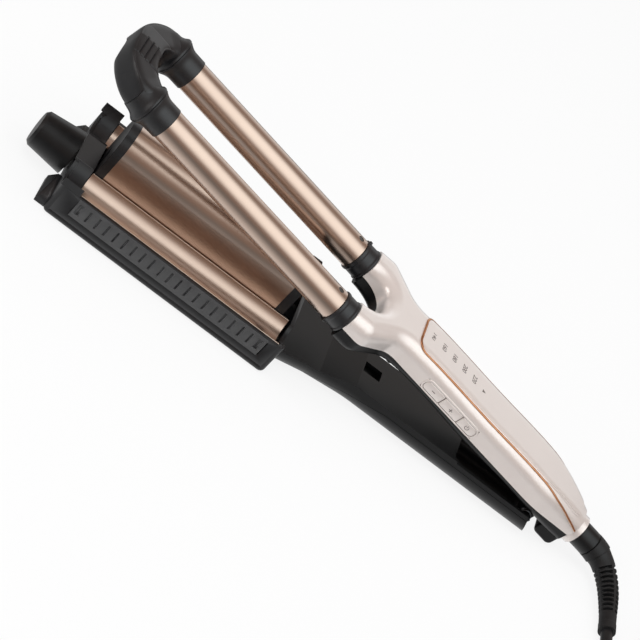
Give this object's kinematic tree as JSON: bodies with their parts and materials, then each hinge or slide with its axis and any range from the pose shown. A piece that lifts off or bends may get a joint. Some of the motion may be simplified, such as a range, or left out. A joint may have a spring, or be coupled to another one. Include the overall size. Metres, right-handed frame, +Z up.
{
  "type": "hair waver",
  "caption": "Hair styling tool with paired round barrels that close over heated troughs and a height-adjustable centre barrel, sprung handle hinge, side keys and mains cord.",
  "frame": {"origin": "centre of the underside of the box round the object without its cord, on the table", "axes": "+X forward from the cord end to the barrels, +Y to the side with the keys, +Z up"},
  "size_m": [0.4935, 0.1174, 0.0895],
  "materials": {
    "pearl_plastic": "gloss pearl",
    "black_plastic": "satin",
    "rose_gold_coating": "satin metallic coating",
    "copper_trim": "bright",
    "black_rubber": "matte",
    "cord_sheath": "satin",
    "spring_steel": "brushed",
    "screw_steel": "brushed",
    "aluminium": "satin",
    "ceramic": "matte",
    "circuit_board": "satin",
    "switch_plastic": "matte",
    "clear_plastic": "clear",
    "lamp": "gloss",
    "felt": "matte",
    "nickel_pin": "bright"
  },
  "bodies": {
    "handle": {"handle_top_shell": "pearl_plastic", "handle_under_shell": "black_plastic", "top_panel": "pearl_plastic", "panel_trim": "copper_trim", "light_guides": "clear_plastic", "indicator_leds": "lamp", "control_board": "circuit_board", "tact_switches": "switch_plastic", "shell_screws": "screw_steel", "barrel_left": "rose_gold_coating", "barrel_right": "rose_gold_coating", "barrel_core_left": "aluminium", "barrel_core_right": "aluminium", "barrel_strip_left": "ceramic", "barrel_strip_right": "ceramic", "collar_left": "black_plastic", "collar_right": "black_plastic", "barrel_screws": "screw_steel", "cool_tip": "black_plastic", "end_ring": "pearl_plastic", "swivel_socket": "black_plastic", "cord": "cord_sheath", "cord_coil": "cord_sheath", "cord_tail": "cord_sheath", "plug_body": "black_rubber", "plug_pins": "nickel_pin"},
    "lower_arm": {"arm_cover_upper": "black_plastic", "arm_cover_lower": "black_plastic", "arm_screws": "screw_steel", "hinge_pin": "spring_steel", "hinge_spring": "spring_steel", "head_tray": "black_plastic", "tray_screws": "screw_steel", "guide_posts": "spring_steel", "front_bracket": "black_plastic", "friction_washer": "felt", "trough_left": "rose_gold_coating", "trough_right": "rose_gold_coating", "trough_heater_left": "aluminium", "trough_heater_right": "aluminium"},
    "centre_lift": {"centre_barrel": "rose_gold_coating", "centre_ring_rear": "black_plastic", "centre_ring_front": "black_plastic", "lift_frame": "aluminium", "centre_heater": "ceramic"},
    "dial_knob": {"dial": "black_plastic", "dial_shaft": "spring_steel", "shaft_clip": "spring_steel"},
    "wedge_carriage": {"wedge_bar": "switch_plastic"},
    "cord_swivel": {"strain_relief": "black_rubber", "swivel_stub": "black_plastic"},
    "button_minus_key": {"button_minus": "pearl_plastic"},
    "button_plus_key": {"button_plus": "pearl_plastic"},
    "button_power_key": {"button_power": "pearl_plastic"}
  },
  "joints": [
    {"name": "jaw_hinge", "type": "hinge", "parent": "handle", "child": "lower_arm", "pos_m": [-0.13452, 0, 0.011], "axis": [0, -1, 0], "range_deg": [0, 10.4], "stiffness_Nm_per_rad": 2, "springref_deg": -20.05, "deforming": ["hinge_spring"]},
    {"name": "dial_turn", "type": "hinge", "parent": "lower_arm", "child": "dial_knob", "pos_m": [0.15748, 0, 0.0127], "axis": [1, 0, 0], "range_deg": [0, 270]},
    {"name": "wedge_slide", "type": "slide", "parent": "lower_arm", "child": "wedge_carriage", "axis": [1, 0, 0], "range_m": [0, 0.012]},
    {"name": "barrel_lift", "type": "slide", "parent": "lower_arm", "child": "centre_lift", "axis": [0, 0, 1], "range_m": [-0.012, 0]},
    {"name": "swivel_turn", "type": "hinge", "parent": "handle", "child": "cord_swivel", "pos_m": [-0.16376, 0, 0.01419], "axis": [0.9796, 0, 0.2011], "continuous": true},
    {"name": "button_minus_press", "type": "slide", "parent": "handle", "child": "button_minus_key", "axis": [0, -1, 0], "range_m": [0, 0.0006], "stiffness_N_per_m": 450, "springref_m": -0.0008},
    {"name": "button_plus_press", "type": "slide", "parent": "handle", "child": "button_plus_key", "axis": [0, -1, 0], "range_m": [0, 0.0006], "stiffness_N_per_m": 450, "springref_m": -0.0008},
    {"name": "button_power_press", "type": "slide", "parent": "handle", "child": "button_power_key", "axis": [0, -1, 0], "range_m": [0, 0.0006], "stiffness_N_per_m": 450, "springref_m": -0.0008}
  ],
  "couplings": [
    {"joint": "dial_turn", "follows": "barrel_lift", "rad_per_m": -392.69},
    {"joint": "wedge_slide", "follows": "barrel_lift", "ratio": -1}
  ]
}
